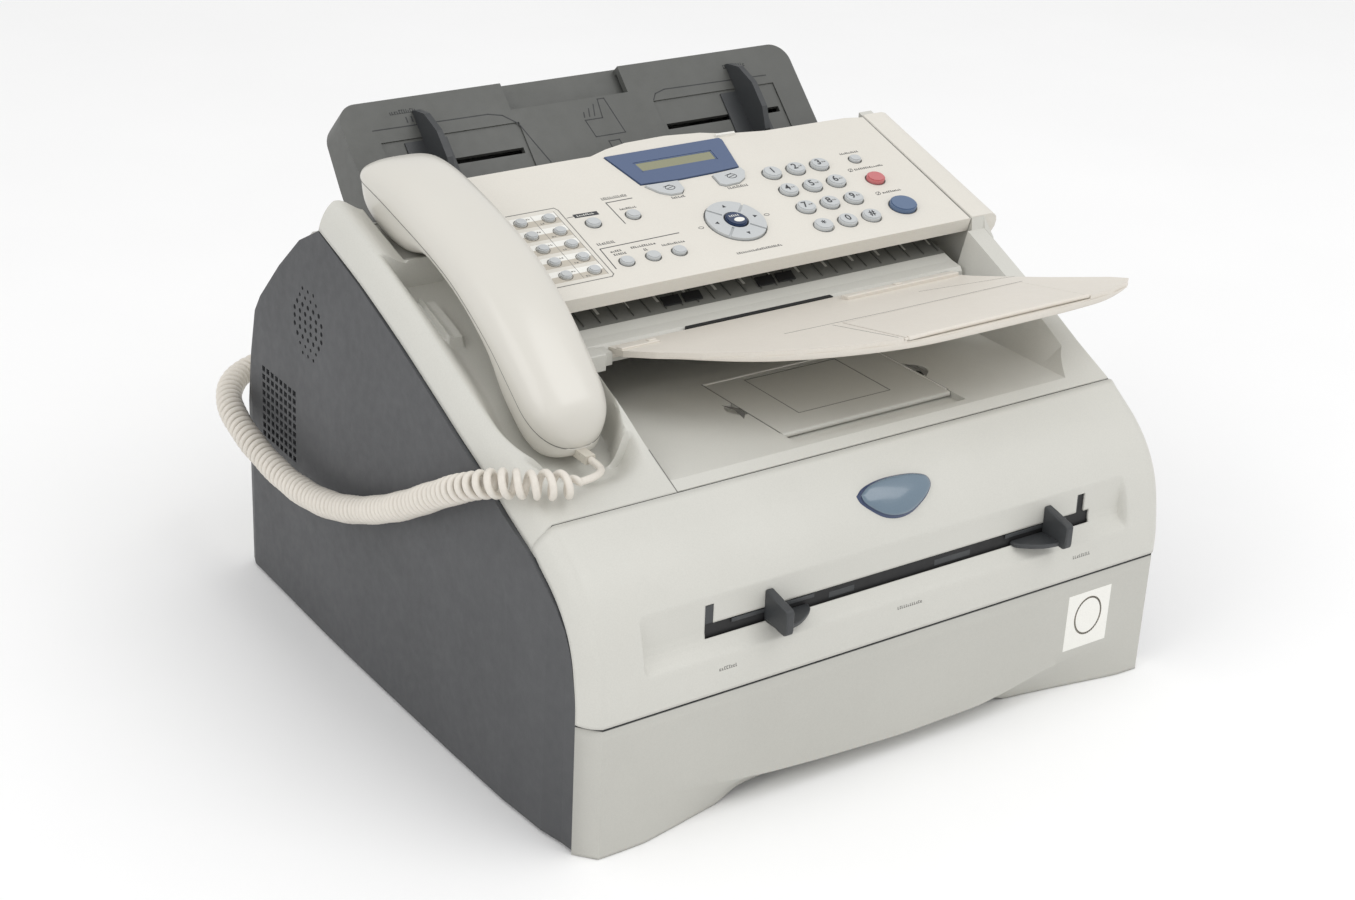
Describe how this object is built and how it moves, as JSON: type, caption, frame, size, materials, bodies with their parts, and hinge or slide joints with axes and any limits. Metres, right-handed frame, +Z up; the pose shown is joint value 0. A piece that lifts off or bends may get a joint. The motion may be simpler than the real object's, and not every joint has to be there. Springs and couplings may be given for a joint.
{
  "type": "fax machine",
  "caption": "Desktop laser fax machine with a corded handset, sloped control panel, paper cassette, document tray and a swing-up document support.",
  "frame": {"origin": "bottom centre of the machine, on the surface it stands on, measured without the handset cord", "axes": "+X to the machine's right as the user faces the panel, +Y to the rear, +Z up"},
  "size_m": [0.4055, 0.4135, 0.281],
  "materials": {
    "light_body": "satin",
    "panel_body": "satin",
    "handset_under": "satin",
    "side_grey": "matte",
    "dark_inner": "satin",
    "tray_grey": "satin",
    "support_pink": "satin",
    "bezel_blue": "gloss",
    "lcd": "gloss",
    "key_grey": "satin",
    "key_red": "satin",
    "key_blue": "satin",
    "key_navy": "satin",
    "cord": "satin",
    "plug": "gloss",
    "badge": "gloss",
    "rubber": "matte",
    "steel": "satin",
    "inner_plastic": "matte",
    "board": "satin"
  },
  "bodies": {
    "machine": {"base_chassis": "steel", "left_side_cover": "side_grey", "right_side_cover": "side_grey", "rear_cover": "light_body", "top_cover": "light_body", "handset_cradle": "light_body", "document_tray": "tray_grey", "adf_chute": "light_body", "toner_drum_unit": "inner_plastic", "laser_unit": "inner_plastic", "main_board": "board", "rubber_feet": "rubber", "screws": "steel", "handset_cord": "cord", "cord_plug_base": "plug"},
    "front_door": {"front_cover": "light_body", "manual_feed_plate": "dark_inner", "badge": "badge"},
    "feed_guide_l": {"manual_guide_left": "dark_inner"},
    "feed_guide_r": {"manual_guide_right": "dark_inner"},
    "cassette": {"paper_cassette": "light_body"},
    "lift": {"lift_plate": "steel"},
    "document_guide_l": {"adf_guide_left": "dark_inner"},
    "document_guide_r": {"adf_guide_right": "dark_inner"},
    "wing": {"document_support": "support_pink"},
    "wing_extension": {"support_extension": "support_pink"},
    "flap": {"output_flap": "light_body"},
    "flap_arm": {"flap_extension": "light_body"},
    "panel": {"control_panel": "panel_body", "lcd_bezel": "bezel_blue", "lcd_glass": "lcd"},
    "handset": {"handset_upper": "light_body", "handset_lower": "handset_under", "cord_plug_handset": "plug"},
    "hook": {"hook_switch": "light_body"},
    "pickup": {"pickup_roller": "rubber"},
    "feed_roller": {"adf_roller": "rubber"},
    "key_1": {"key_1": "key_grey"},
    "key_2": {"key_2": "key_grey"},
    "key_3": {"key_3": "key_grey"},
    "key_4": {"key_4": "key_grey"},
    "key_5": {"key_5": "key_grey"},
    "key_6": {"key_6": "key_grey"},
    "key_7": {"key_7": "key_grey"},
    "key_8": {"key_8": "key_grey"},
    "key_9": {"key_9": "key_grey"},
    "key_0": {"key_0": "key_grey"},
    "key_star": {"key_star": "key_grey"},
    "key_hash": {"key_hash": "key_grey"},
    "key_reports": {"key_reports": "key_grey"},
    "key_stop": {"key_stop": "key_red"},
    "key_start": {"key_start": "key_blue"},
    "key_shift": {"key_shift": "key_grey"},
    "key_options": {"key_options": "key_grey"},
    "one_touch_keys": {"one_touch_keys": "key_grey"},
    "fax_keys": {"fax_keys": "key_grey"},
    "key_fax_mode": {"key_fax_mode": "key_grey"},
    "key_copy_mode": {"key_copy_mode": "key_grey"},
    "key_nav": {"key_nav": "key_grey"},
    "key_menu": {"key_menu": "key_navy"}
  },
  "joints": [
    {"name": "front_cover_hinge", "type": "hinge", "parent": "machine", "child": "front_door", "pos_m": [0, -0.17105, 0.076], "axis": [1, 0, 0], "range_deg": [0, 80]},
    {"name": "manual_guide_left_slide", "type": "slide", "parent": "front_door", "child": "feed_guide_l", "axis": [1, 0, 0], "range_m": [-0.014, 0.05]},
    {"name": "manual_guide_right_slide", "type": "slide", "parent": "front_door", "child": "feed_guide_r", "axis": [1, 0, 0], "range_m": [-0.05, 0.014]},
    {"name": "cassette_slide", "type": "slide", "parent": "machine", "child": "cassette", "axis": [0, -1, 0], "range_m": [0, 0.3]},
    {"name": "lift_plate_hinge", "type": "hinge", "parent": "cassette", "child": "lift", "pos_m": [0, 0.07145, 0.011], "axis": [-1, 0, 0], "range_deg": [0, 8]},
    {"name": "document_guide_left_slide", "type": "slide", "parent": "machine", "child": "document_guide_l", "axis": [1, 0, 0], "range_m": [0, 0.025]},
    {"name": "document_guide_right_slide", "type": "slide", "parent": "machine", "child": "document_guide_r", "axis": [1, 0, 0], "range_m": [-0.025, 0]},
    {"name": "document_support_hinge", "type": "hinge", "parent": "machine", "child": "wing", "pos_m": [0, -0.02805, 0.1895], "axis": [-1, 0, 0], "range_deg": [0, 70]},
    {"name": "support_extension_hinge", "type": "hinge", "parent": "wing", "child": "wing_extension", "pos_m": [0, -0.13015, 0.21342], "axis": [1, 0, 0], "range_deg": [0, 170]},
    {"name": "output_flap_hinge", "type": "hinge", "parent": "machine", "child": "flap", "pos_m": [0.029, -0.10105, 0.16], "axis": [1, 0, 0], "range_deg": [0, 24]},
    {"name": "flap_extension_hinge", "type": "hinge", "parent": "flap", "child": "flap_arm", "pos_m": [0.027, -0.03755, 0.1602], "axis": [-1, 0, 0], "range_deg": [0, 40]},
    {"name": "control_panel_hinge", "type": "hinge", "parent": "machine", "child": "panel", "pos_m": [0.0205, 0.09034, 0.24371], "axis": [-1, 0, 0], "range_deg": [0, 60]},
    {"name": "handset_lift", "type": "slide", "parent": "machine", "child": "handset", "axis": [0, -0.4067, 0.9135], "range_m": [0, 0.15]},
    {"name": "hook_switch_press", "type": "slide", "parent": "machine", "child": "hook", "axis": [0, 0, -1], "range_m": [0, 0.003], "stiffness_N_per_m": 150, "springref_m": -0.001},
    {"name": "pickup_roller_spin", "type": "hinge", "parent": "machine", "child": "pickup", "pos_m": [0, -0.09655, 0.0626], "axis": [1, 0, 0], "continuous": true},
    {"name": "document_roller_spin", "type": "hinge", "parent": "machine", "child": "feed_roller", "pos_m": [0, 0.02545, 0.1992], "axis": [1, 0, 0], "continuous": true},
    {"name": "key_1_press", "type": "slide", "parent": "panel", "child": "key_1", "axis": [0, 0.2907, -0.9568], "range_m": [0, 0.0012], "stiffness_N_per_m": 200, "springref_m": -0.0005},
    {"name": "key_2_press", "type": "slide", "parent": "panel", "child": "key_2", "axis": [0, 0.2907, -0.9568], "range_m": [0, 0.0012], "stiffness_N_per_m": 200, "springref_m": -0.0005},
    {"name": "key_3_press", "type": "slide", "parent": "panel", "child": "key_3", "axis": [0, 0.2907, -0.9568], "range_m": [0, 0.0012], "stiffness_N_per_m": 200, "springref_m": -0.0005},
    {"name": "key_4_press", "type": "slide", "parent": "panel", "child": "key_4", "axis": [0, 0.2907, -0.9568], "range_m": [0, 0.0012], "stiffness_N_per_m": 200, "springref_m": -0.0005},
    {"name": "key_5_press", "type": "slide", "parent": "panel", "child": "key_5", "axis": [0, 0.2907, -0.9568], "range_m": [0, 0.0012], "stiffness_N_per_m": 200, "springref_m": -0.0005},
    {"name": "key_6_press", "type": "slide", "parent": "panel", "child": "key_6", "axis": [0, 0.2907, -0.9568], "range_m": [0, 0.0012], "stiffness_N_per_m": 200, "springref_m": -0.0005},
    {"name": "key_7_press", "type": "slide", "parent": "panel", "child": "key_7", "axis": [0, 0.2907, -0.9568], "range_m": [0, 0.0012], "stiffness_N_per_m": 200, "springref_m": -0.0005},
    {"name": "key_8_press", "type": "slide", "parent": "panel", "child": "key_8", "axis": [0, 0.2907, -0.9568], "range_m": [0, 0.0012], "stiffness_N_per_m": 200, "springref_m": -0.0005},
    {"name": "key_9_press", "type": "slide", "parent": "panel", "child": "key_9", "axis": [0, 0.2907, -0.9568], "range_m": [0, 0.0012], "stiffness_N_per_m": 200, "springref_m": -0.0005},
    {"name": "key_0_press", "type": "slide", "parent": "panel", "child": "key_0", "axis": [0, 0.2907, -0.9568], "range_m": [0, 0.0012], "stiffness_N_per_m": 200, "springref_m": -0.0005},
    {"name": "key_star_press", "type": "slide", "parent": "panel", "child": "key_star", "axis": [0, 0.2907, -0.9568], "range_m": [0, 0.0012], "stiffness_N_per_m": 200, "springref_m": -0.0005},
    {"name": "key_hash_press", "type": "slide", "parent": "panel", "child": "key_hash", "axis": [0, 0.2907, -0.9568], "range_m": [0, 0.0012], "stiffness_N_per_m": 200, "springref_m": -0.0005},
    {"name": "key_reports_press", "type": "slide", "parent": "panel", "child": "key_reports", "axis": [0, 0.2907, -0.9568], "range_m": [0, 0.0012], "stiffness_N_per_m": 200, "springref_m": -0.0005},
    {"name": "key_stop_press", "type": "slide", "parent": "panel", "child": "key_stop", "axis": [0, 0.2907, -0.9568], "range_m": [0, 0.0012], "stiffness_N_per_m": 200, "springref_m": -0.0005},
    {"name": "key_start_press", "type": "slide", "parent": "panel", "child": "key_start", "axis": [0, 0.2907, -0.9568], "range_m": [0, 0.0012], "stiffness_N_per_m": 200, "springref_m": -0.0005},
    {"name": "key_shift_press", "type": "slide", "parent": "panel", "child": "key_shift", "axis": [0, 0.2907, -0.9568], "range_m": [0, 0.0012], "stiffness_N_per_m": 200, "springref_m": -0.0005},
    {"name": "key_options_press", "type": "slide", "parent": "panel", "child": "key_options", "axis": [0, 0.2907, -0.9568], "range_m": [0, 0.0012], "stiffness_N_per_m": 200, "springref_m": -0.0005},
    {"name": "one_touch_keys_press", "type": "slide", "parent": "panel", "child": "one_touch_keys", "axis": [0, 0.2907, -0.9568], "range_m": [0, 0.0012], "stiffness_N_per_m": 200, "springref_m": -0.0005},
    {"name": "fax_keys_press", "type": "slide", "parent": "panel", "child": "fax_keys", "axis": [0, 0.2907, -0.9568], "range_m": [0, 0.0012], "stiffness_N_per_m": 200, "springref_m": -0.0005},
    {"name": "key_fax_mode_press", "type": "slide", "parent": "panel", "child": "key_fax_mode", "axis": [0, 0.2907, -0.9568], "range_m": [0, 0.0012], "stiffness_N_per_m": 200, "springref_m": -0.0005},
    {"name": "key_copy_mode_press", "type": "slide", "parent": "panel", "child": "key_copy_mode", "axis": [0, 0.2907, -0.9568], "range_m": [0, 0.0012], "stiffness_N_per_m": 200, "springref_m": -0.0005},
    {"name": "key_nav_press", "type": "slide", "parent": "panel", "child": "key_nav", "axis": [0, 0.2907, -0.9568], "range_m": [0, 0.0012], "stiffness_N_per_m": 200, "springref_m": -0.0005},
    {"name": "key_menu_press", "type": "slide", "parent": "panel", "child": "key_menu", "axis": [0, 0.2907, -0.9568], "range_m": [0, 0.0012], "stiffness_N_per_m": 200, "springref_m": -0.0005}
  ],
  "couplings": [
    {"joint": "manual_guide_right_slide", "follows": "manual_guide_left_slide", "ratio": -1},
    {"joint": "document_guide_right_slide", "follows": "document_guide_left_slide", "ratio": -1}
  ]
}
